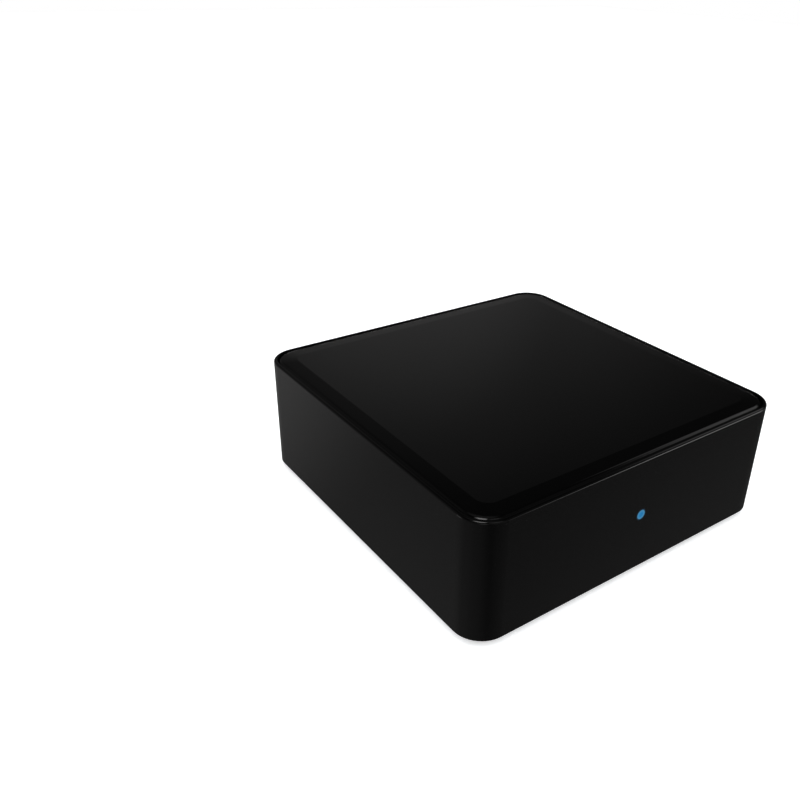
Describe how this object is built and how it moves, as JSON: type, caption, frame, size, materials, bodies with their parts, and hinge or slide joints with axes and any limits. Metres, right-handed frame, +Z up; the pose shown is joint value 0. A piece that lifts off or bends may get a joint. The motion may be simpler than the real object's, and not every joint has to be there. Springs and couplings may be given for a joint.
{
  "type": "network music streamer",
  "caption": "Compact square table-top network music streamer with rounded corners, a set-in top cover with sloped border, one front status light and a rear socket panel.",
  "frame": {"origin": "on the table under the middle of the whole part, phono sleeves included", "axes": "+Z up; the front wall with the status light faces -Y and the rear sockets face +Y"},
  "size_m": [0.154, 0.1624, 0.0529],
  "materials": {
    "black_gloss": "polished",
    "black_satin": "fine texture",
    "black_moulding": "satin",
    "foot_rubber": "matte",
    "black_screw_steel": "black zinc",
    "zinc_steel": "zinc plated",
    "nickel": "nickel plated",
    "gold": "gold plated",
    "tin_sheet": "tin plated",
    "white_insulator": "satin",
    "red_insulator": "satin",
    "blue_lens": "clear, lit",
    "led_body": "satin",
    "infrared_window": "gloss",
    "board_green": "solder mask",
    "ribbon_white": "satin",
    "socket_white": "satin",
    "antenna_board": "solder mask",
    "lead_grey": "satin",
    "capacitor_can": "satin",
    "film_red": "gloss",
    "chip_black": "satin",
    "crystal_steel": "polished",
    "ferrite": "matte",
    "shutter_grey": "satin",
    "tongue_white": "satin",
    "light_green": "clear"
  },
  "bodies": {
    "chassis": {"housing": "black_gloss", "top_cover": "black_gloss", "rear_panel": "black_satin", "rear_panel_screws": "black_screw_steel", "jack_screws": "black_screw_steel", "cover_screws": "black_screw_steel", "rubber_feet": "foot_rubber", "status_lens": "blue_lens", "status_led": "led_body", "infrared_receiver": "infrared_window", "front_board": "board_green", "front_board_cable": "ribbon_white", "cable_sockets": "socket_white", "main_board": "board_green", "main_board_screws": "zinc_steel", "wireless_module": "board_green", "module_shield": "tin_sheet", "antennas": "antenna_board", "antenna_leads": "lead_grey", "lead_plugs": "gold", "electrolytic_capacitors": "capacitor_can", "film_capacitors": "film_red", "audio_converter": "chip_black", "line_amplifiers": "chip_black", "clock_crystal": "crystal_steel", "power_inductor": "ferrite", "voltage_regulator": "chip_black", "line_out_block": "black_moulding", "line_in_block": "black_moulding", "jack_sleeves": "nickel", "white_insulators": "white_insulator", "red_insulators": "red_insulator", "jack_contacts": "gold", "optical_in_socket": "black_moulding", "optical_out_socket": "black_moulding", "optical_in_element": "chip_black", "optical_out_element": "chip_black", "ethernet_shield": "tin_sheet", "ethernet_insert": "black_moulding", "ethernet_contacts": "gold", "ethernet_lights": "light_green", "usb_sleeve": "tin_sheet", "usb_tongue": "tongue_white", "usb_contacts": "gold", "power_block": "black_moulding", "power_pin": "nickel", "power_spring": "tin_sheet", "switch_body": "chip_black"},
    "setup_button": {"setup_button": "black_moulding", "switch_plunger": "socket_white"},
    "optical_in_shutter": {"optical_in_shutter": "shutter_grey"},
    "optical_out_shutter": {"optical_out_shutter": "shutter_grey"}
  },
  "joints": [
    {"name": "setup_press", "type": "slide", "parent": "chassis", "child": "setup_button", "axis": [0, -1, 0], "range_m": [0, 0.0005], "stiffness_N_per_m": 2500},
    {"name": "optical_in_hinge", "type": "hinge", "parent": "chassis", "child": "optical_in_shutter", "pos_m": [-0.007, 0.07125, 0.0216], "axis": [-1, 0, 0], "range_deg": [0, 90], "stiffness_Nm_per_rad": 0.0003, "springref_deg": -17.19},
    {"name": "optical_out_hinge", "type": "hinge", "parent": "chassis", "child": "optical_out_shutter", "pos_m": [-0.02, 0.07125, 0.0216], "axis": [-1, 0, 0], "range_deg": [0, 90], "stiffness_Nm_per_rad": 0.0003, "springref_deg": -17.19}
  ]
}
